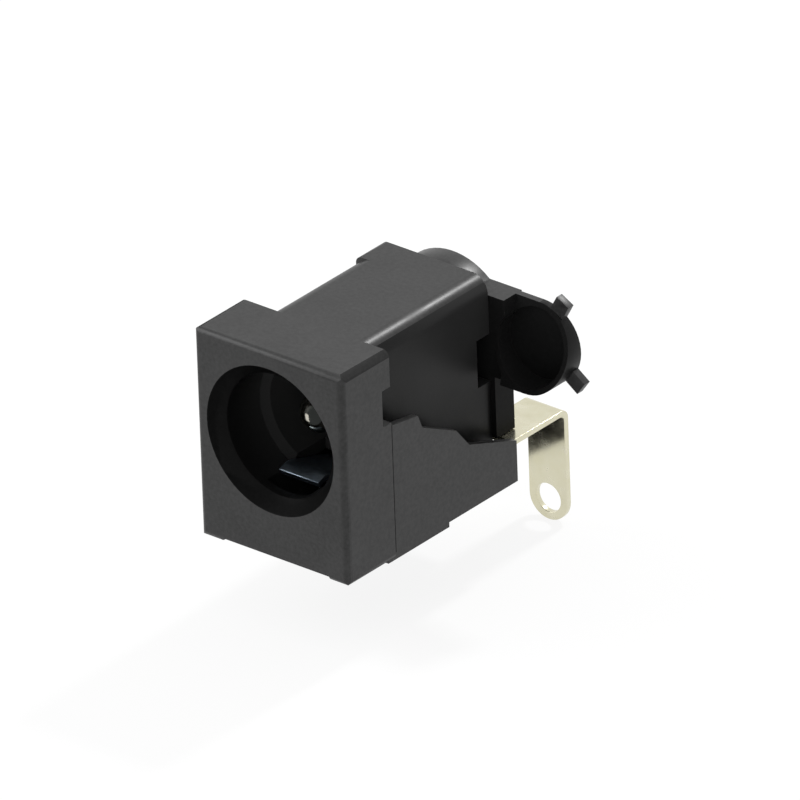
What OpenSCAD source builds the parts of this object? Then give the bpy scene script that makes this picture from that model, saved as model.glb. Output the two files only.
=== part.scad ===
// DC barrel jack for a 5.5 mm x 2.1 mm plug, with three solder lugs.
// X is across the front, Y runs back from the front face and Z is up.
// The origin is the middle of the front face's foot line, on the board.

/* [Front flange] */
// Width of the front flange
flange_w = 9.0; // [8.6:0.1:12]
// Height of the flange top above the board
overall_h = 11.1; // [10.7:0.1:14]
// Thickness of the flange, front to back
flange_t = 3.5; // [2.8:0.1:5]
// Rounding of the flange's long corners and front edges
flange_r = 0.35; // [0.1:0.05:0.8]

/* [Plug socket] */
// Height of the plug axis above the board
axis_h = 6.4; // [6.2:0.1:6.9]
// Bore that guides the plug's sleeve
bore_d = 5.7; // [5.6:0.05:5.8]
// Depth of that bore from the front face
bore_depth = 10.4; // [9.6:0.1:10.8]
// Width of the funnel where it meets the front face
mouth_d = 7.7; // [6.6:0.1:7.8]
// Depth of the funnel
mouth_depth = 0.7; // [0.4:0.1:1.2]
// Width of the throat behind the funnel
throat_d = 6.4; // [6:0.1:6.5]

/* [Barrel body] */
// Width of the upper body behind the flange
barrel_w = 6.4; // [6.3:0.1:6.8]
// Step from the flange top down to the flat top of the body
top_step = 0.3; // [0.1:0.05:0.6]
// Rounding of the body's two top edges
barrel_r = 0.9; // [0.4:0.1:1.4]
// Distance from the front face to the back of the upper body
body_l = 12.35; // [12.1:0.05:13]
// Thickness of the bore's end wall
end_wall = 0.5; // [0.4:0.1:0.7]

/* [Lower body] */
// Step from the flange's side in to the lower body's side
side_step = 0.05; // [0.05:0.05:0.2]
// Thickness of the two side walls that stand beside the barrel
side_wall = 0.35; // [0.25:0.05:0.5]
// Height of the side walls at the flange
side_front_h = 7.1; // [5:0.1:8]
// Height of the side walls at the back
side_back_h = 2.4; // [2.4:0.1:4]
// Width and depth of the shadow line between flange and side wall
seam = 0.1; // [0.05:0.05:0.15]
// Height of the feet
foot_h = 0.25; // [0.2:0.05:0.6]
// Width of each front foot
foot_w = 1.2; // [1:0.1:1.6]
// Distance from the front face to the end of the foot rails
foot_l = 7.5; // [5.5:0.1:11]

/* [Rear cap] */
// Thickness of the cap's plate
cap_t = 1.35; // [1.2:0.05:1.5]
// Radius of the cap's round head
cap_r = 3.45; // [3.1:0.05:3.6]
// Height of the round head's centre above the plug axis
cap_rise = 0.8; // [0.4:0.1:1]
// Outer radius of the round side pocket
pocket_r = 2.15; // [1.9:0.05:2.25]
// Distance of the side pocket's centre from the plug axis
pocket_x = 5.6; // [5.6:0.1:6.5]
// Height of the side pocket's centre above the plug axis
pocket_z = 1.3; // [0.8:0.05:1.6]
// Wall of the side pocket
pocket_wall = 0.25; // [0.2:0.05:0.5]
// Backward lean of the pocket's mouth, in degrees
pocket_lean = 18; // [8:1:20]

/* [Contacts] */
// Diameter of the centre pin
pin_d = 2.0; // [1.9:0.05:2.1]
// Distance from the front face back to the pin's tip
pin_tip = 2.7; // [1.5:0.1:4]
// Diameter of the pin's riveted shank
shank_d = 1.4; // [1:0.1:1.6]
// Diameter of the shank's riveted head
rivet_d = 2.3; // [1.9:0.1:2.6]
// Height of that head
rivet_h = 0.35; // [0.2:0.05:0.5]
// Thickness of the contact strip
strip_t = 0.3; // [0.2:0.05:0.35]
// Distance from the bore's lowest line down to the strips' underside
spring_room = 1.6; // [1.5:0.05:1.8]
// Width of the solder lugs
lug_w = 2.3; // [2.1:0.1:2.5]
// Distance from the plug axis to the inner edge of a side lug
lug_in = 1.85; // [1.6:0.05:1.9]
// Distance from the cap's back to the back of the lugs
lug_reach = 3.1; // [2.7:0.1:5]
// Length of the hanging lugs below the board level
lug_drop = 3.95; // [3.4:0.05:6]
// Diameter of the eyelet in each lug
eyelet_d = 1.5; // [1:0.1:1.6]
// Height of the pin terminal's lug above the board
pin_lug_h = 3.9; // [3.4:0.1:4.6]
// Width of the spring that touches the plug's sleeve
spring_w = 2.4; // [1.8:0.1:2.4]
// How far the free spring stands into the bore
spring_reach = 0.4; // [0.2:0.05:0.6]

/* [Fits] */
// Clearance around the contacts in the mouldings
slot_gap = 0.05; // [0.03:0.01:0.08]
// Clearance of the cap's spigot and plate in the body
spigot_gap = 0.1; // [0.05:0.01:0.15]

/* [Hidden] */
$fn = 64;
// Shared levels and planes
side_x = flange_w / 2 - side_step;
barrel_x = barrel_w / 2;
barrel_top = overall_h - top_step;
cap_back = body_l + cap_t;
tail_back = body_l + 0.25;
bore_low = axis_h - bore_d / 2;
strip_h = bore_low - spring_room;
strip_mid = strip_h + strip_t / 2;
strip_top = strip_h + strip_t;
floor_z = strip_h - slot_gap;
cap_floor = strip_top + slot_gap;
trough_z = floor_z - 0.5;
lug_back = cap_back + lug_reach;
chamber_x = 2.8;
chamber_top = bore_low - 0.3;
tail_x = chamber_x - 2 * slot_gap;
spigot_r = 1.5;
window_t = 0.95;
window_z = [axis_h - 1.1, axis_h + 1.4];
relief = 0.6;
relief_z = [axis_h + 0.9, axis_h + 2.8];
head_z = axis_h + cap_rise;
pocket_mid = axis_h + pocket_z;
pocket_back = cap_back - 0.1;
pocket_span = [pocket_mid - pocket_r, pocket_mid + pocket_r];
bridge_x = pocket_x - 1.45;
bend_r = 0.2 + strip_t / 2;
lap = 0.01;
// Path of the spring that touches the plug's sleeve
crest_y = 2.6;
crest_z = bore_low + spring_reach - strip_t / 2;
knee_y = 8;
spring_rise = (crest_z - strip_mid) / (knee_y - crest_y);
spring_lean = atan(spring_rise);
leaf_back = body_l - 0.15;
// Path of the switch finger lying on that spring
finger_y = [knee_y - 1.4, knee_y - 0.6];
finger_lift = strip_t / cos(spring_lean);
arm_knee_y = knee_y + finger_lift / spring_rise;

function finger_z(y) = strip_mid + (arm_knee_y - y) * spring_rise;
function unit(v) = v / norm(v);
function lean(a, b) = atan2(b[1] - a[1], b[0] - a[0]);
function turned(a) = a > 180 ? a - 360 : (a < -180 ? a + 360 : a);
function turn_at(p, i) = turned(lean(p[i], p[i + 1]) - lean(p[i - 1], p[i]));
function run_in(p, i, r) = (i == 0 || i == len(p) - 1) ? 0 : r * tan(abs(turn_at(p, i)) / 2);

module bar(x, y, z) {
  translate([x[0], y[0], z[0]])
    cube([x[1] - x[0], y[1] - y[0], z[1] - z[0]]);
}

module rod(r, y, at) {
  translate([at[0], y[0], at[1]])
    rotate([-90, 0, 0])
      cylinder(r = r, h = y[1] - y[0]);
}

module cone(r, y, at) {
  translate([at[0], y[0], at[1]])
    rotate([-90, 0, 0])
      cylinder(r1 = r[0], r2 = r[1], h = y[1] - y[0]);
}

// Sheet strip folded along a path in the Y-Z plane, every fold a true bend
module folded_strip(x, path, r) {
  for (i = [0:len(path) - 2]) {
    dir = unit(path[i + 1] - path[i]);
    from = path[i] + dir * max(0, run_in(path, i, r) - lap);
    to = path[i + 1] - dir * max(0, run_in(path, i + 1, r) - lap);
    translate([x[0], from[0], from[1]])
      rotate([lean(path[i], path[i + 1]), 0, 0])
        translate([0, 0, -strip_t / 2])
          cube([x[1] - x[0], norm(to - from), strip_t]);
  }
  if (len(path) > 2)
    for (i = [1:len(path) - 2]) {
      turn = turn_at(path, i);
      side = sign(turn);
      dir = unit(path[i] - path[i - 1]);
      hub = path[i] - dir * run_in(path, i, r) + [-dir[1], dir[0]] * r * side;
      start = lean(path[i - 1], path[i]) - side * 90;
      translate([x[0], hub[0], hub[1]])
        rotate([90, 0, 90])
          rotate([0, 0, min(start, start + turn)])
            rotate_extrude(angle = abs(turn))
              translate([r - strip_t / 2, 0])
                square([strip_t, x[1] - x[0]]);
    }
}

// Block whose four corners along Y are rounded
module rounded_block(x, y, z, r) {
  bar([x[0] + r, x[1] - r], y, z);
  bar(x, y, [z[0] + r, z[1] - r]);
  for (cx = [x[0] + r, x[1] - r])
    for (cz = [z[0] + r, z[1] - r])
      rod(r, y, [cx, cz]);
}

// Long corners and front edges are rounded, and a shallow recess leaves two front feet
module flange_block() {
  fx = flange_w / 2;
  r = flange_r;
  deep = flange_t + 1;
  difference() {
    intersection() {
      rounded_block([-fx, fx], [0, flange_t], [0, overall_h], r);
      rotate([90, 0, 0])
        rounded_block([-fx, fx], [-1, overall_h + 1], [-deep, 0], r);
      rotate([0, 0, 90])
        rounded_block([0, deep], [-fx - 1, fx + 1], [0, overall_h], r);
    }
    bar([-fx + foot_w, fx - foot_w], [-1, flange_t + 1], [-1, foot_h]);
  }
}

module barrel_block() {
  y = [flange_t - 0.5, body_l];
  bar([-barrel_x, barrel_x], y, [foot_h, barrel_top - barrel_r]);
  bar([-barrel_x + barrel_r, barrel_x - barrel_r], y, [foot_h, barrel_top]);
  for (s = [-1, 1])
    rod(barrel_r, y, [s * (barrel_x - barrel_r), barrel_top - barrel_r]);
}

// Squarer corner left standing at the back of the left top edge
module corner_rib() {
  r = 0.35;
  y = [body_l - 1.95, body_l];
  rod(r, y, [-barrel_x + r, barrel_top - r]);
  bar([-barrel_x, 0], y, [axis_h, barrel_top - r]);
  bar([-barrel_x + r, 0], y, [axis_h, barrel_top]);
}

// Thin side wall, its top falling in steps from the flange to the back
module side_plate() {
  drop = side_front_h - side_back_h;
  profile = [
    [flange_t - 0.5, foot_h],
    [flange_t - 0.5, side_front_h],
    [flange_t, side_front_h],
    [5.5, side_back_h + 0.93 * drop],
    [5.8, side_back_h + 0.77 * drop],
    [8.25, side_back_h + 0.51 * drop],
    [9.15, side_back_h + 0.27 * drop],
    [tail_back, side_back_h],
    [tail_back, foot_h]
  ];
  translate([side_x - side_wall, 0, 0])
    rotate([90, 0, 90])
      linear_extrude(side_wall)
        polygon(profile);
}

// Floor of the lower body, and a side wall along each edge of it
module lower_block() {
  bar([-side_x, side_x], [flange_t - 0.5, tail_back], [foot_h, trough_z]);
  side_plate();
  mirror([1, 0, 0])
    side_plate();
}

// Fine line that parts the flange from the side walls
module seam_lines() {
  for (x = [-side_x, side_x])
    bar([x - seam, x + seam], [flange_t, flange_t + seam], [foot_h + 0.1, side_front_h + 1]);
}

// Rails that carry the feet on behind the flange
module foot_rails() {
  for (s = [-1, 1]) {
    x = [s * (side_x - 0.9), s * side_x];
    bar([min(x), max(x)], [flange_t - 0.5, foot_l], [0, foot_h + 0.1]);
  }
}

// Funnel, throat, guide bore and the hole that takes the cap's spigot
module socket_void() {
  at = [0, axis_h];
  throat_end = flange_t - 0.4;
  cone([mouth_d / 2 + 0.1 * (mouth_d - throat_d) / (2 * mouth_depth), throat_d / 2],
    [-0.1, mouth_depth], at);
  rod(throat_d / 2, [mouth_depth - 0.01, throat_end], at);
  cone([throat_d / 2, bore_d / 2], [throat_end - 0.01, throat_end + 0.35], at);
  rod(bore_d / 2, [0.5, bore_depth], at);
  rod(spigot_r + spigot_gap, [0, body_l + 1], at);
  rod(bore_d / 2 - 0.15, [bore_depth + end_wall, body_l + 1], at);
}

// Room for the contact strips under the bore
module strip_void() {
  bar([-chamber_x, chamber_x], [4.5, tail_back + 1], [floor_z, chamber_top]);
  leaf_x = spring_w / 2 + 2 * slot_gap;
  bar([-leaf_x, leaf_x], [1.2, 5.5], [floor_z, axis_h - 1.2]);
  cap_x = cap_r + spigot_gap;
  bar([-cap_x, cap_x], [body_l, tail_back + 1], [floor_z, overall_h]);
  tongue_x = lug_in - slot_gap;
  bar([-tongue_x, tongue_x], [body_l, tail_back + 1], [-1, overall_h]);
}

module housing() {
  color([0.07, 0.07, 0.08])
    difference() {
      union() {
        flange_block();
        barrel_block();
        corner_rib();
        lower_block();
        foot_rails();
      }
      socket_void();
      strip_void();
      seam_lines();
      // Side window into the space behind the bore
      bar([spigot_r, barrel_x + 1], [body_l - window_t, body_l + 1], window_z);
      // Small relief in the flange's back edge
      bar([flange_w / 2 - relief, flange_w], [flange_t - relief, flange_t + 1], relief_z);
    }
}

// Round pocket open to the front, its mouth leaning back
module pocket_shell() {
  difference() {
    union() {
      rod(pocket_r, [body_l - 0.45, pocket_back], [pocket_x, pocket_mid]);
      bar([bridge_x - 0.01, pocket_x], [body_l - 0.45, pocket_back], pocket_span);
    }
    translate([0, body_l + 0.2, pocket_mid])
      rotate([-pocket_lean, 0, 0])
        bar([0, 12], [-6, 0], [-6, 6]);
  }
}

module rear_cap() {
  y = [body_l, cap_back];
  tongue_x = lug_in - 2 * slot_gap;
  color([0.09, 0.09, 0.1])
    difference() {
      union() {
        bar([-cap_r, cap_r], y, [cap_floor, head_z]);
        rod(cap_r, y, [0, head_z]);
        rod(spigot_r, [bore_depth, cap_back], [0, axis_h]);
        bar([-tongue_x, tongue_x], y, [foot_h, head_z]);
        // Bridge to the side pocket
        bar([0, bridge_x], y, pocket_span);
        pocket_shell();
        // Two short tabs on the pocket's rim
        for (a = [61, -36])
          translate([pocket_x, pocket_back - 0.2, pocket_mid])
            rotate([0, -a, 0])
              bar([pocket_r - 0.15, pocket_r + 0.8], [-0.2, 0.2], [-0.4, 0.4]);
      }
      rod(pocket_r - pocket_wall, [body_l - 1, pocket_back - 0.3], [pocket_x, pocket_mid]);
      rod(shank_d / 2 + slot_gap, [0, cap_back + 1], [0, axis_h]);
    }
}

module centre_pin() {
  at = [0, axis_h];
  color([0.75, 0.75, 0.72]) {
    translate([0, pin_tip + pin_d / 2, axis_h])
      sphere(d = pin_d);
    rod(pin_d / 2, [pin_tip + pin_d / 2, bore_depth], at);
    rod(shank_d / 2, [bore_depth - 0.1, cap_back + strip_t + 0.1], at);
    cone([rivet_d / 2, rivet_d / 2 - rivet_h], [cap_back + strip_t, cap_back + strip_t + rivet_h], at);
  }
}

module pin_terminal() {
  face = cap_back + strip_t / 2;
  lug_mid = pin_lug_h + strip_t / 2;
  hub = lug_back - lug_w / 2;
  x = [-lug_w / 2, lug_w / 2];
  color([0.8, 0.79, 0.74])
    difference() {
      union() {
        rod(lug_w / 2, [cap_back, cap_back + strip_t], [0, axis_h]);
        folded_strip(x, [[face, axis_h], [face, lug_mid], [hub, lug_mid]], bend_r);
        translate([0, hub, pin_lug_h])
          cylinder(d = lug_w, h = strip_t);
      }
      rod(shank_d / 2 + slot_gap, [cap_back - 1, cap_back + 1], [0, axis_h]);
      translate([0, hub, pin_lug_h - 1])
        cylinder(d = eyelet_d, h = 3);
    }
}

// Tail under the cap, shelf behind it and the lug hanging from the shelf
module side_lug() {
  face = lug_back - strip_t / 2;
  hub = lug_w / 2 - lug_drop;
  x = [lug_in, lug_in + lug_w];
  shelf = tail_back + slot_gap;
  difference() {
    union() {
      bar([lug_in, tail_x], [body_l - 1.5, shelf + 0.5], [strip_h, strip_top]);
      folded_strip(x, [[shelf, strip_mid], [face, strip_mid], [face, hub]], bend_r);
      rod(lug_w / 2, [lug_back - strip_t, lug_back], [lug_in + lug_w / 2, hub]);
    }
    rod(eyelet_d / 2, [lug_back - 1, lug_back + 1], [lug_in + lug_w / 2, hub]);
  }
}

module sleeve_contact() {
  sx = spring_w / 2;
  color([0.86, 0.85, 0.8]) {
    side_lug();
    bar([0, tail_x], [body_l - 1.5, leaf_back], [strip_h, strip_top]);
    folded_strip([-sx, sx], [
      [crest_y - 0.6, crest_z - 0.22],
      [crest_y, crest_z],
      [knee_y, strip_mid],
      [leaf_back, strip_mid]
    ], 0.8);
  }
}

module shunt_contact() {
  color([0.86, 0.85, 0.8]) {
    mirror([1, 0, 0])
      side_lug();
    folded_strip([-tail_x, -lug_in], [
      [finger_y[0], finger_z(finger_y[0])],
      [arm_knee_y, strip_mid],
      [body_l, strip_mid]
    ], 0.8);
    folded_strip([-tail_x, 0.3], [
      [finger_y[0], finger_z(finger_y[0])],
      [finger_y[1], finger_z(finger_y[1])]
    ], 0.8);
  }
}

housing();
rear_cap();
centre_pin();
pin_terminal();
sleeve_contact();
shunt_contact();
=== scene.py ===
# %% [markdown]
# # A dc barrel jack
# This lesson dresses a small power connector: a black moulded body with an upright
# flange, a bright pin inside the plug mouth, a rear cap with a round side pocket and
# three tin plated solder lugs. The solids are already made and packed. Here they
# get their softened moulded edges, their finishes, the light and the camera.
# Lengths are written in millimetres and turned into metres by one value.

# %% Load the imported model
import bpy
import math
from mathutils import Matrix, Vector


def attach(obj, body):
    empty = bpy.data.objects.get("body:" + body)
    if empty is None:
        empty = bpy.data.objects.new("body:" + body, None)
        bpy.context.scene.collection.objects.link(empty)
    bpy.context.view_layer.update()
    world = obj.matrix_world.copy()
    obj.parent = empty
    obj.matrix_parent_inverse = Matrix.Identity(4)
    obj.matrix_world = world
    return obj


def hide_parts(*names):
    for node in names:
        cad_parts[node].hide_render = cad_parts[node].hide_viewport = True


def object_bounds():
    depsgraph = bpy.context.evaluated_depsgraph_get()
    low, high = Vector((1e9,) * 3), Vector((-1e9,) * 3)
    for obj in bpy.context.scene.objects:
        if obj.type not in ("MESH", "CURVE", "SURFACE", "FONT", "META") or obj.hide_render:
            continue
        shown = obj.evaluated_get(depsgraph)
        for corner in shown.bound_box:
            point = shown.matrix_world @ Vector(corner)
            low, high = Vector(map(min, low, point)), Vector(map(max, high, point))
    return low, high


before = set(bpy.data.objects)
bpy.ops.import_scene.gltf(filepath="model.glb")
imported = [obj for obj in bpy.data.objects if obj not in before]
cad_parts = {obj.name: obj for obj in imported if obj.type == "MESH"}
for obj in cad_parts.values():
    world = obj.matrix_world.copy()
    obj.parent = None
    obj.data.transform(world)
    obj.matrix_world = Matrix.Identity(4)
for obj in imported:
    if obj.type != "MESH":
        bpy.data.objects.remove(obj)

mm = 0.001
cad_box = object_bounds()
print("nodes:", sorted(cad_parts))
print("box of the solids:", cad_box)

# %% [markdown]
# ## The camera
# The jack is looked at from its front right and from above. The lens stands more
# than a metre away, which for a part of one centimetre keeps all parallel edges
# parallel. Two angles and a small roll place it, and one width frames the part.

# %% Place the camera
azimuth = math.radians(40.38)
elevation = math.radians(27.99)
roll = math.radians(-2.05)
view_width = 37.54 * mm
distance = 1300 * mm
sensor_width = 36.0
seen_from = Vector((
    math.sin(azimuth) * math.cos(elevation),
    -math.cos(azimuth) * math.cos(elevation),
    math.sin(elevation),
))
to_right = Vector((math.cos(azimuth), math.sin(azimuth), 0.0))
to_top = seen_from.cross(to_right)
screen_right = to_right * math.cos(roll) + to_top * math.sin(roll)
screen_up = to_top * math.cos(roll) - to_right * math.sin(roll)
# The point that the lens is aimed at lies a little right of and above the middle
middle = Vector((0, 6.5, 5.5)) * mm
aim = middle + screen_right * (1.92 * mm) + screen_up * (0.26 * mm)
lens = bpy.data.cameras.new("lens")
lens.sensor_width = sensor_width
lens.lens = sensor_width * distance / view_width
lens.clip_start = 0.1
lens.clip_end = 20.0
camera = bpy.data.objects.new("camera", lens)
bpy.context.scene.collection.objects.link(camera)
turn = Matrix((screen_right, screen_up, seen_from)).transposed().to_4x4()
camera.matrix_world = Matrix.Translation(aim + seen_from * distance) @ turn
bpy.context.scene.camera = camera
print("lens length in mm:", round(lens.lens))

# %% [markdown]
# ## Helpers
# Every finish below is a small tree of nodes. One function adds a node with its
# settings, values and links. Another turns a hex colour, as a screen shows it, into
# the linear values that light uses, and a third starts a material with an empty tree.
# A fourth finds the rays for which the room is plain white: those from the lens, from
# a mirroring surface or through glass. The last one leaves nothing selected.

# %% Helpers for colours and nodes
def srgb(code):
    """Turn a hex colour as seen on a screen into linear values."""
    parts = [int(code[i:i + 2], 16) / 255 for i in (1, 3, 5)]
    flat = [c / 12.92 if c <= 0.04045 else ((c + 0.055) / 1.055) ** 2.4 for c in parts]
    return (*flat, 1.0)


def add_node(tree, kind, settings=None, values=None, links=None):
    """Add one shader node, set its options and sockets, and join its inputs."""
    node = tree.nodes.new(kind)
    for name, value in (settings or {}).items():
        setattr(node, name, value)
    for socket, value in (values or {}).items():
        node.inputs[socket].default_value = value
    for socket, source in (links or {}).items():
        tree.links.new(source, node.inputs[socket])
    return node


def empty_material(name):
    """A new material with nothing in it, and its node tree."""
    material = bpy.data.materials.new(name)
    material.use_nodes = True
    material.node_tree.nodes.clear()
    return material, material.node_tree


def seen_or_mirrored(tree):
    """One where a ray comes from the lens, from a mirroring surface or through glass."""
    ray = add_node(tree, "ShaderNodeLightPath")
    seen = ray.outputs["Is Camera Ray"]
    for kind in ("Is Glossy Ray", "Is Transmission Ray"):
        either = add_node(tree, "ShaderNodeMath", {"operation": "MAXIMUM"},
                          links={0: seen, 1: ray.outputs[kind]})
        seen = either.outputs[0]
    return seen


def deselect_all():
    """Leave edit mode and select nothing, because an operator acts on all selected."""
    if bpy.context.object and bpy.context.object.mode != "OBJECT":
        bpy.ops.object.mode_set(mode="OBJECT")
    bpy.ops.object.select_all(action="DESELECT")


# %% [markdown]
# ## The floor
# The jack sits on a board's edge in use. Here it is shown above a plain pale floor,
# just under the lowest lug. The floor is nearly white for the lens and for mirrors,
# and a plain matt sheet for the light that bounces from it. The small matt share
# that the lens still sees keeps a faint, soft shadow under the part.

# %% Lay the floor
# Plain colours on the screen, with no film look laid over them
bpy.context.scene.view_settings.view_transform = "Standard"
floor_width = 900 * mm
floor_gap = 0.02 * mm
floor_whiteness = 0.86
deselect_all()
floor_place = (0, 0, cad_box[0][2] - floor_gap)
bpy.ops.mesh.primitive_plane_add(size=floor_width, location=floor_place)
floor = bpy.context.object
floor.name = "floor"
paper, tree = empty_material("white_paper_sheet")
matt = add_node(tree, "ShaderNodeBsdfDiffuse", values={"Color": srgb("#F4F4F4")})
glow = add_node(tree, "ShaderNodeEmission", values={"Color": (1, 1, 1, 1), "Strength": 1.0})
share = add_node(tree, "ShaderNodeMath", {"operation": "MULTIPLY"},
                 {1: floor_whiteness}, {0: seen_or_mirrored(tree)})
mix = add_node(tree, "ShaderNodeMixShader",
               links={"Fac": share.outputs[0], 1: matt.outputs[0], 2: glow.outputs[0]})
add_node(tree, "ShaderNodeOutputMaterial", links={"Surface": mix.outputs[0]})
floor.data.materials.append(paper)
print("floor level in mm:", round(floor.location.z / mm, 2))

# %% [markdown]
# ## The white room
# A soft, even room shows a matt black moulding best, because black plastic is seen
# mostly by what its skin mirrors. The room is full white for the lens and for
# mirrors, and dimmer for the light that it sheds on matt surfaces.

# %% Paint the room white
world = bpy.data.worlds.new("white_room")
bpy.context.scene.world = world
world.use_nodes = True
tree = world.node_tree
tree.nodes.clear()
dimmer = add_node(tree, "ShaderNodeBackground", values={"Color": (1, 1, 1, 1), "Strength": 0.70})
white = add_node(tree, "ShaderNodeBackground", values={"Color": (1, 1, 1, 1), "Strength": 1.0})
mix = add_node(tree, "ShaderNodeMixShader",
               links={"Fac": seen_or_mirrored(tree), 1: dimmer.outputs[0], 2: white.outputs[0]})
add_node(tree, "ShaderNodeOutputWorld", links={"Surface": mix.outputs[0]})
print("world:", world.name)

# %% [markdown]
# ## Three soft lamps
# A broad lamp overhead makes the tops a little paler than the walls. A small one
# stands above and behind the jack, just where the rounded long edge of the body
# mirrors it to the lens, and draws a fine bright line along that edge. A third, off
# to the left in front, lifts the front face a little.

# %% Place the lamps
def soft_lamp(name, direction, reach, size, watts):
    """A square lamp that stands off the jack in one direction and faces it."""
    data = bpy.data.lights.new(name, "AREA")
    data.size = size
    data.energy = watts
    lamp = bpy.data.objects.new(name, data)
    bpy.context.scene.collection.objects.link(lamp)
    away = Vector(direction).normalized()
    lamp.location = middle + away * reach
    lamp.rotation_euler = away.to_track_quat("Z", "Y").to_euler()
    print(name, "at", [round(c, 3) for c in lamp.location])


def mirrored(normal):
    """The direction that a face with this normal mirrors to the lens."""
    normal = Vector(normal).normalized()
    return 2 * normal.dot(seen_from) * normal - seen_from


# The normal where the bright line lies, less than a third of the way round the edge
edge_normal = (0.44, 0, 0.90)
soft_lamp("overhead", (0.1, -0.1, 1.0), reach=0.35, size=0.30, watts=0.1)
soft_lamp("edge_light", mirrored(edge_normal), reach=0.30, size=0.03, watts=0.45)
soft_lamp("front_fill", (-0.75, -0.5, 0.5), reach=0.40, size=0.30, watts=0.9)

# %% [markdown]
# ## Two cards that only mirrors see
# Metal shows what stands around it, so in a studio small dark cards are set near it to
# shape what it mirrors. Here two cards glow in one even tone each and paint what is
# mirrored. One hangs under the back of the jack, and the right lug mirrors it as a dark
# patch: a painted reflection of the dark body. The other stands in the plug mouth as
# painted shade, because the pin would mirror the whole white room and look like a
# pearl; the pin and the spring mirror its dim grey. A card is seen only by mirroring
# rays, so it throws no shadow and hides nothing. The plastic's own faint shine sees
# both cards too.

# %% Hang the cards
axis_z = 6.4
card_y = 0.02


def mirror_card(name, shade, size, cells, place, turn):
    """A card that glows in one even tone as a painted reflection; nothing but a mirroring ray
    sees it.
    """
    deselect_all()
    bpy.ops.mesh.primitive_grid_add(x_subdivisions=cells, y_subdivisions=cells, size=1)
    card = bpy.context.object
    card.name = name
    shape = Matrix.Diagonal((size[0] * mm, size[1] * mm, 1, 1))
    card.data.transform(Matrix.Translation(Vector(place) * mm) @ turn @ shape)
    tone, tree = empty_material(name + "_paper")
    even = add_node(tree, "ShaderNodeEmission", values={"Color": srgb(shade)})
    add_node(tree, "ShaderNodeOutputMaterial", links={"Surface": even.outputs[0]})
    card.data.materials.append(tone)
    card.visible_camera = False
    card.visible_diffuse = False
    card.visible_transmission = False
    card.visible_shadow = False
    print(name, "cells:", len(card.data.polygons))
    return card


upright = Matrix.Rotation(math.radians(90), 4, "X")
slant = Matrix.Rotation(math.radians(-33.6), 4, "Y")
# Painted reflection: the right lug mirrors this dark card as the dark body's reflection
mirror_card("lug_reflection_card", "#0A0A0A", size=(4.5, 1.9), cells=1,
            place=(0.86, 14.6, -0.64), turn=slant @ upright)
# Painted shade: the pin and the spring mirror this dim card in place of the bright room
mouth_shade_card = mirror_card("mouth_shade_card", "#3C4043", size=(7.6, 7.6), cells=12,
                         place=(0, card_y, axis_z), turn=upright)

# %% [markdown]
# ## A window in the mouth card
# The pin keeps one spark if its ball can still mirror the white room through a small
# gap. The card is a grid, so the gap is made by taking out the cells round one point.

# %% Cut the window
window = Vector((-1.95, card_y, 4.9)) * mm
half_width, half_height = 0.95 * mm, 1.2 * mm
bpy.ops.object.mode_set(mode="EDIT")
bpy.ops.mesh.select_all(action="DESELECT")
bpy.ops.object.mode_set(mode="OBJECT")
for cell in mouth_shade_card.data.polygons:
    away = cell.center - window
    cell.select = abs(away.x) < half_width and abs(away.z) < half_height
print("cells in the window:", sum(cell.select for cell in mouth_shade_card.data.polygons))
bpy.ops.object.mode_set(mode="EDIT")
bpy.ops.mesh.select_mode(type="FACE")
bpy.ops.mesh.delete(type="FACE")
bpy.ops.object.mode_set(mode="OBJECT")

# %% [markdown]
# ## The black moulding
# The housing and the cap are PBT, a tough plastic that is shot into a steel mould.
# The mould is spark eroded, which leaves a matt skin of fine pits about a tenth of a
# millimetre apart. PBT has an index of refraction near 1.57. Its black is a deep
# neutral grey, a little uneven where the melt cooled, and a bit shinier where the
# melt reached the steel hot. One noise makes the pits and a broader one the clouds.
# Where asked, a paler tone is painted in as light, fading in along the part's own axes.

# %% A helper for black moulded plastic
pit_spacing = 0.2  # twice as coarse as real, so that the pits show
cloud_width = 2.2


def paint_in_light(tree, spot, colour, deep, spans):
    """Blend in a paler tone as painted light, where all the spans along the axes agree."""
    parts = add_node(tree, "ShaderNodeSeparateXYZ", links={"Vector": spot})
    share = None
    for axis, start, end in spans:
        along = add_node(tree, "ShaderNodeMapRange", {"interpolation_type": "SMOOTHSTEP"},
                         {"From Min": start * mm, "From Max": end * mm},
                         {"Value": parts.outputs[axis]})
        inside = along.outputs["Result"]
        if share is not None:
            both = add_node(tree, "ShaderNodeMath", {"operation": "MULTIPLY"},
                            links={0: share, 1: inside})
            inside = both.outputs[0]
        share = inside
    blend = add_node(tree, "ShaderNodeMix", {"data_type": "RGBA"}, {7: srgb(deep)},
                     {0: share, 6: colour})
    return blend.outputs[2]


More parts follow.
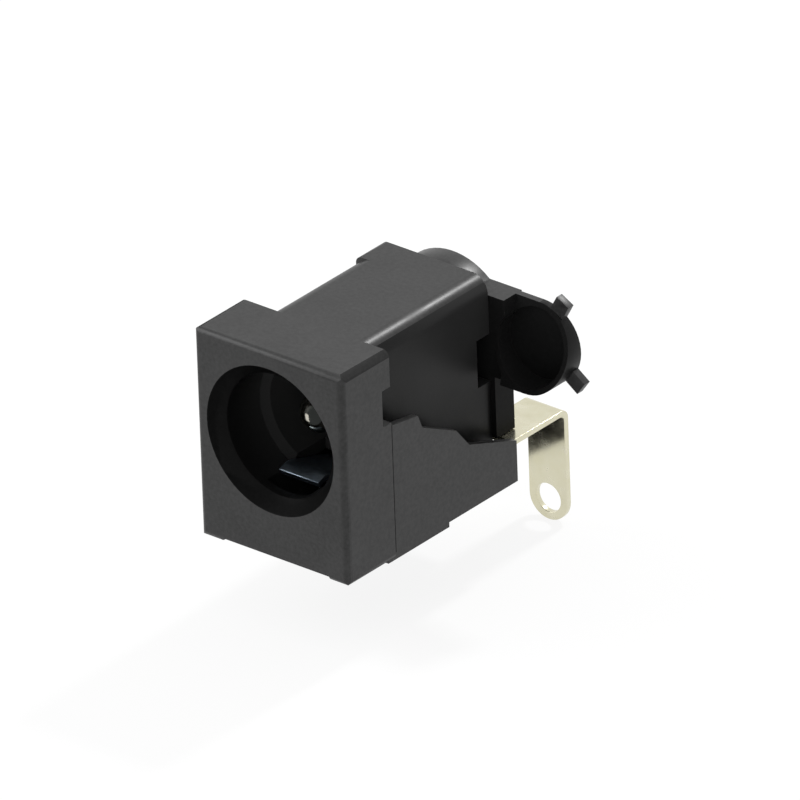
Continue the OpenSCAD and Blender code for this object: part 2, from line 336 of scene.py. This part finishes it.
def black_moulding(name, tint, shine, rough, pit_height, fade=None):
    """Black PBT with cloudy tint, eroded pits and, if asked, a paler tone painted in as light.
    """
    material, tree = empty_material(name)
    spot = add_node(tree, "ShaderNodeTexCoord").outputs["Object"]
    pits = add_node(tree, "ShaderNodeTexNoise",
                    values={"Scale": 1 / (pit_spacing * mm), "Detail": 2.0, "Roughness": 0.6},
                    links={"Vector": spot})
    clouds = add_node(tree, "ShaderNodeTexNoise",
                      values={"Scale": 1 / (cloud_width * mm), "Detail": 3.0, "Roughness": 0.5},
                      links={"Vector": spot})
    speck = add_node(tree, "ShaderNodeMix", {"data_type": "FLOAT"}, {0: 0.6},
                     {2: clouds.outputs["Fac"], 3: pits.outputs["Fac"]})
    shade = add_node(tree, "ShaderNodeValToRGB", links={"Fac": speck.outputs[0]})
    for stop, position, code in zip(shade.color_ramp.elements, (0.35, 0.65), tint):
        stop.position = position
        stop.color = srgb(code)
    colour = shade.outputs["Color"]
    # Painted light: a paler tone blended in along the part's axes
    if fade:
        colour = paint_in_light(tree, spot, colour, *fade)
    matt = add_node(tree, "ShaderNodeMapRange",
                    values={"From Min": 0.3, "From Max": 0.7,
                            "To Min": rough - 0.05, "To Max": rough + 0.05},
                    links={"Value": clouds.outputs["Fac"]})
    skin = add_node(tree, "ShaderNodeBump",
                    values={"Strength": 0.25, "Distance": pit_height * mm},
                    links={"Height": pits.outputs["Fac"]})
    body = add_node(tree, "ShaderNodeBsdfPrincipled",
                    values={"IOR": 1.57, "Specular IOR Level": shine},
                    links={"Base Color": colour, "Roughness": matt.outputs["Result"],
                           "Normal": skin.outputs["Normal"]})
    add_node(tree, "ShaderNodeOutputMaterial", links={"Surface": body.outputs[0]})
    return material


# %% [markdown]
# ## Six blacks from one plastic
# The outside shows the eroded skin. The walls beside the barrel, in the socket, and in
# and round the pocket lie in shade between close walls, and that shade is painted in:
# they get darker tints and less shine. The long round corners of the flange get painted
# shading, a flat tone with no shine at all, so that the lamps draw no bright line on
# them. Half is the shader's normal level of shine for plastic, so all six stay below
# it. Two of the dark ones also get painted light that changes along the part. The
# socket's grows paler inwards, to make up for light that is lost between close walls,
# and the barrel's grows paler towards its back and its top, as the real one looks.

# %% Make the six blacks
eroded_black = black_moulding("eroded_black_pbt", ("#181818", "#2B2B2B"),
                              shine=0.28, rough=0.38, pit_height=0.006)
# Painted shading: a flat tone with no shine on the flange's long round corners
painted_corner_black = black_moulding("painted_corner_black_pbt_corner", ("#323232", "#383838"),
                               shine=0.0, rough=0.5, pit_height=0.006)
# Painted shade on the walls beside the barrel, with painted light paling it towards the back and
# top
painted_shade_black = black_moulding("painted_shade_black_pbt_wall", ("#0E0E0E", "#131313"),
                             shine=0.10, rough=0.36, pit_height=0.006,
                             fade=("#282828", [("Y", 3.5, 12.0), ("Z", 4.5, 8.5)]))
# Painted shade in the socket, with painted light that pales it inwards
painted_hollow_black = black_moulding("painted_hollow_black_pbt_socket", ("#0F0F0F", "#131313"),
                            shine=0.03, rough=0.38, pit_height=0.004,
                            fade=("#404040", [("Y", 0.7, 6.0)]))
# Painted shade inside the pocket and on the arm's front
pocket_shade_black = black_moulding("painted_hollow_black_pbt_pocket", ("#151515", "#191919"),
                              shine=0.03, rough=0.38, pit_height=0.004)
# Painted shade on the wall round the pocket
rim_shade_black = black_moulding("painted_shade_black_pbt_rim", ("#0B0B0B", "#0F0F0F"),
                           shine=0.12, rough=0.36, pit_height=0.006)
print("blacks:", [m.name for m in bpy.data.materials if "black_pbt" in m.name])

# %% [markdown]
# ## The plated metals
# The pin is turned brass under nickel, which mirrors with a faint warmth. The lugs are
# thin bronze strip under satin tin: paler, creamy, with rolling marks about a
# twentieth of a millimetre apart, drawn out along the jack. Inside the socket the same
# strip is silver plated for a clean contact, and silver soon wears a blue grey skin of
# tarnish. Metals keep the default index of refraction, and their colour is what they
# mirror, so one helper serves all three.

# %% Mix the nickel, the tin and the tarnished silver
mark_spacing = 0.05
mark_depth = 0.004
haze_width = 0.9


def plated_metal(name, light, dull, roughness, marks):
    """Plated metal with fine marks drawn out along Y, and a slightly cloudy plate."""
    material, tree = empty_material(name)
    spot = add_node(tree, "ShaderNodeTexCoord").outputs["Object"]
    drawn = add_node(tree, "ShaderNodeMapping", values={"Scale": (1.0, 0.06, 1.0)},
                     links={"Vector": spot})
    lines = add_node(tree, "ShaderNodeTexNoise",
                     values={"Scale": 1 / (mark_spacing * mm), "Detail": 2.0},
                     links={"Vector": drawn.outputs[0]})
    haze = add_node(tree, "ShaderNodeTexNoise",
                    values={"Scale": 1 / (haze_width * mm), "Detail": 3.0},
                    links={"Vector": spot})
    colour = add_node(tree, "ShaderNodeMix", {"data_type": "RGBA"},
                      {6: srgb(dull), 7: srgb(light)}, {0: haze.outputs["Fac"]})
    rough = add_node(tree, "ShaderNodeMapRange",
                     values={"From Min": 0.3, "From Max": 0.7,
                             "To Min": roughness - 0.05, "To Max": roughness + 0.06},
                     links={"Value": haze.outputs["Fac"]})
    skin = add_node(tree, "ShaderNodeBump",
                    values={"Strength": marks, "Distance": mark_depth * mm},
                    links={"Height": lines.outputs["Fac"]})
    body = add_node(tree, "ShaderNodeBsdfPrincipled", values={"Metallic": 1.0},
                    links={"Base Color": colour.outputs[2], "Roughness": rough.outputs["Result"],
                           "Normal": skin.outputs["Normal"]})
    add_node(tree, "ShaderNodeOutputMaterial", links={"Surface": body.outputs[0]})
    return material


nickel = plated_metal("satin_nickel_on_brass", "#CFCBBF", "#B8B4A8",
                      roughness=0.14, marks=0.10)
satin_tin = plated_metal("satin_tin_on_bronze", "#DFDCC8", "#CDC8AA",
                         roughness=0.24, marks=0.25)
tarnished_silver = plated_metal("tarnished_silver_on_bronze", "#C2D2E0", "#A6B6C4",
                                roughness=0.34, marks=0.25)
print("metals:", nickel.name, satin_tin.name, tarnished_silver.name)

# %% [markdown]
# ## Whole faces
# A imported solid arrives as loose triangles. Before an edge can be rounded, a copy of
# it is merged: points that coincide become one, and the triangles of a flat area are
# joined into a whole face.

# %% Copy a solid and merge its triangles
merge_distance = 0.0005 * mm
flat_angle = math.radians(0.1)


def merged_copy(node, piece_name):
    """A copy of a solid, selected and active, with whole flat faces."""
    deselect_all()
    piece = bpy.data.objects.new(piece_name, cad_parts[node].data.copy())
    piece.data.name = piece_name
    bpy.context.scene.collection.objects.link(piece)
    bpy.context.view_layer.objects.active = piece
    piece.select_set(True)
    bpy.ops.object.mode_set(mode="EDIT")
    bpy.ops.mesh.select_all(action="SELECT")
    bpy.ops.mesh.remove_doubles(threshold=merge_distance)
    bpy.ops.mesh.dissolve_limited(angle_limit=flat_angle)
    bpy.ops.mesh.select_all(action="DESELECT")
    bpy.ops.object.mode_set(mode="OBJECT")
    return piece


# %% [markdown]
# ## Softened edges
# No moulded or stamped edge is knife sharp. A mould's corner leaves nearly a tenth of
# a millimetre of radius, and a stamped strip a few hundredths. They could be cut into
# the solids, but so small a radius belongs to the looks, and it is what catches the
# light on a real part. A bevel rounds each edge that turns by more than a given angle.

# %% Round the sharp edges
def round_edges(piece, radius, sharp):
    """Give every edge that turns more than so many degrees a small radius."""
    edge = piece.modifiers.new("edge", "BEVEL")
    edge.limit_method = "ANGLE"
    edge.angle_limit = math.radians(sharp)
    edge.width = radius * mm
    edge.segments = 3
    edge.miter_outer = "MITER_ARC"
    bpy.ops.object.modifier_apply(modifier="edge")
    bpy.ops.object.shade_smooth_by_angle(angle=math.radians(sharp + 2))
    # Broad faces keep their own direction, so that only the rounded edges turn the light
    level = piece.modifiers.new("level", "WEIGHTED_NORMAL")
    level.keep_sharp = True
    bpy.ops.object.modifier_apply(modifier="level")


# %% [markdown]
# ## One finish, or several
# A moulding leaves its tool in one colour, but its surfaces differ. So a piece wears
# one finish, and small tests on a face's place in millimetres and on its direction
# say which faces wear another. The solid under it gets the main finish too.

# %% Dress a solid
def soften(node, piece_name, radius, finish, regions=(), sharp=32):
    """Round a copy of a solid, lay on its finishes and let it stand for the solid."""
    piece = merged_copy(node, piece_name)
    round_edges(piece, radius, sharp)
    for mesh in (piece.data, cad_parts[node].data):
        mesh.materials.clear()
        mesh.materials.append(finish)
    for number, (other, belongs) in enumerate(regions, 1):
        piece.data.materials.append(other)
        chosen = [face for face in piece.data.polygons if belongs(face.center / mm, face.normal)]
        for face in chosen:
            face.material_index = number
        print(" ", other.name, "on", len(chosen), "faces")
    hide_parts(node)
    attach(piece, "root")
    print(piece_name, "faces:", len(piece.data.polygons))
    return piece


# %% [markdown]
# ## The housing
# One moulding makes the flange, the barrel, the stepped block under it and the socket.
# It wears four of the blacks: its eroded outside, painted shade on the walls beside the
# barrel, painted shading without shine on the flange's long corners, and painted shade
# on all that lies inside the socket. The limits below lie a little off the real faces,
# so that their rounded edges are taken along.

# %% Dress the housing
flange_back = 3.5
barrel_from, barrel_to = 2.9, 3.26
mouth_from, mouth_to, mouth_radius = 0.05, 3.6, 3.86
bore_from, bore_to, bore_radius = 3.4, 12.4, 2.9


def from_axis(spot):
    """Distance from the socket's axis."""
    return math.hypot(spot.x, spot.z - axis_z)


def beside_barrel(spot, normal):
    """The upright walls of the barrel, behind the flange."""
    wall = barrel_from < abs(spot.x) < barrel_to and abs(normal.x) > 0.8
    return spot.y > flange_back and wall


def on_flange_corner(spot, normal):
    """The flange's rounded long corners, outside the mouth."""
    outside = spot.y < flange_back and from_axis(spot) > 4
    return outside and normal.z > 0.05 and abs(normal.x) > 0.08


def in_socket(spot, normal):
    """The plug mouth and the bore behind it."""
    mouth = mouth_from < spot.y < mouth_to and from_axis(spot) < mouth_radius
    return mouth or (bore_from < spot.y < bore_to and from_axis(spot) < bore_radius)


# Painted shade beside the barrel and in the socket, and a flat unshiny tone on the flange
# corners
housing = soften("housing", "housing_moulding", 0.07, eroded_black,
                 [(painted_shade_black, beside_barrel), (painted_corner_black, on_flange_corner),
                  (painted_hollow_black, in_socket)])

# %% [markdown]
# ## The rear cap
# The cap closes the back and carries the round side pocket. Its outside is eroded like
# the housing's. The pocket's inside, the wall round it and the front of the arm that
# holds it lie in deep shade, and that shade is painted in as much darker tints.
# The limits again lie a little off the real faces.

# %% Dress the cap
pocket_x, pocket_z = 5.6, 7.7
wall_middle, wall_outside = 2.0, 2.17
arm_front, pocket_floor, wall_back = 13.1, 13.45, 13.5


def from_pocket(spot):
    """Distance from the pocket's middle."""
    return math.hypot(spot.x - pocket_x, spot.z - pocket_z)


def around_pocket(spot, normal):
    """The outside of the round wall, up to the pocket's rim."""
    wall = wall_middle < from_pocket(spot) < wall_outside
    return spot.y < wall_back and wall and abs(normal.y) < 0.9


def in_pocket(spot, normal):
    """The pocket's inside, the arm's front, and the two small walls that face right."""
    front = normal.y < -0.9 and spot.y < arm_front
    beside_plate = normal.x > 0.5 and 3.3 < spot.x < 3.5 and spot.z < 9
    step = normal.x > 0.5 and 4.1 < spot.x < 4.2
    inside = spot.y < pocket_floor and from_pocket(spot) < wall_middle
    return front or beside_plate or step or inside


# Painted shade in and round the pocket and on the arm's front
cap = soften("rear_cap", "rear_cap_moulding", 0.06, eroded_black,
             [(rim_shade_black, around_pocket), (pocket_shade_black, in_pocket)])

# %% [markdown]
# ## The pin and the contacts
# The pin is turned, so only its shoulders are sharp, and its ball end stays as it is.
# The contacts are stamped from strip 0.3 mm thick, and their edges are nearly sharp.
# Their front ends, the spring and the switch finger, are silver plated and tarnished.

# %% Dress the metal
silvered_to = 10


def in_front(spot, normal):
    """The front end of a contact, inside the socket."""
    return spot.y < silvered_to


pin = soften("centre_pin", "nickel_pin", 0.04, nickel, sharp=62)
pin_lug = soften("pin_terminal", "pin_lug", 0.03, satin_tin)
sleeve_lug = soften("sleeve_contact", "sleeve_spring_and_lug", 0.03, satin_tin,
                    [(tarnished_silver, in_front)])
switch_lug = soften("shunt_contact", "switch_finger_and_lug", 0.03, satin_tin,
                    [(tarnished_silver, in_front)])

# %% [markdown]
# ## Slots
# A slot names a finish that can be swapped later. The two mouldings and the pin are
# listed with one each, and the three strips with one that they share, because they are
# plated alike. The pairs are only printed here; no slot is set.

# %% Name the slots
for piece, slot in ((housing, "black_moulding"), (cap, "black_cap"), (pin, "pin_plating"),
                    (pin_lug, "tin_plating"), (sleeve_lug, "tin_plating"),
                    (switch_lug, "tin_plating")):
    print(piece.name, "in slot", slot)
